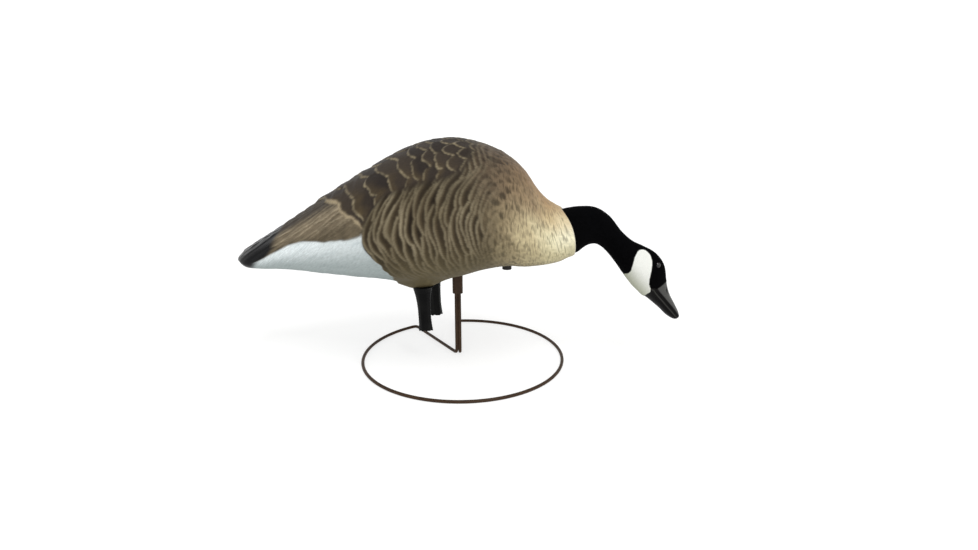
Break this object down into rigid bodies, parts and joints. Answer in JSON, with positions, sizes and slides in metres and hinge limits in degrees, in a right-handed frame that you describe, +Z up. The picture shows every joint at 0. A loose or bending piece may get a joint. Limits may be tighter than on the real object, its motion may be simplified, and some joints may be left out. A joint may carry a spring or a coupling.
{
  "type": "full-body goose feeder decoy with rocking and swivelling ring base",
  "caption": "Hollow full-body feeding goose decoy with pull-off head and rubber legs, rocking and swivelling on a bent-rod ring base.",
  "frame": {"origin": "on the ground at the middle of the ring, which is also the middle of the object's bounding box seen from above", "axes": "+X towards the bill along the decoy, +Z up, +Y to the decoy's left"},
  "size_m": [0.6549, 0.3078, 0.3289],
  "materials": {
    "rod_coat": "satin brown powder coat",
    "steel": "turned steel",
    "bronze": "sintered bronze",
    "nylon": "moulded black nylon",
    "rubber": "matt black rubber",
    "body_paint": "matt painted moulding with feather relief",
    "head_flock": "matt black flocked moulding",
    "eye": "glossy dark brown"
  },
  "bodies": {
    "stand": {"base_rod": "rod_coat"},
    "adapter": {"post_sleeve": "rod_coat", "sleeve_plug": "nylon", "spindle": "steel", "thrust_washer": "nylon", "spindle_clip": "steel"},
    "swivel": {"swivel_hub": "nylon", "hub_bush": "bronze", "trunnion_pins": "steel"},
    "decoy": {"pivot_bracket": "nylon", "rubber_bushes": "rubber", "bracket_screws": "steel", "rock_stops": "rubber", "belly_grommet": "rubber", "body_shell": "body_paint", "leg_left": "rubber", "leg_right": "rubber", "stake_socket": "nylon", "stake_socket_nut": "nylon", "neck_socket": "nylon"},
    "head": {"head_neck": "head_flock", "neck_plug": "nylon", "neck_seal": "rubber", "eye_left": "eye", "eye_right": "eye"}
  },
  "joints": [
    {"name": "lift_off", "type": "slide", "parent": "stand", "child": "adapter", "axis": [0, 0, 1], "range_m": [0, 0.02]},
    {"name": "turn", "type": "hinge", "parent": "adapter", "child": "swivel", "pos_m": [-0.0074, 0.011, 0.146], "axis": [0, 0, 1], "continuous": true},
    {"name": "rock", "type": "hinge", "parent": "swivel", "child": "decoy", "pos_m": [-0.0074, 0.011, 0.146], "axis": [0, 1, 0], "range_deg": [-19, 9], "stiffness_Nm_per_rad": 3.2},
    {"name": "head_pull", "type": "slide", "parent": "decoy", "child": "head", "axis": [0.9563, 0, 0.2924], "range_m": [0, 0.04]}
  ]
}
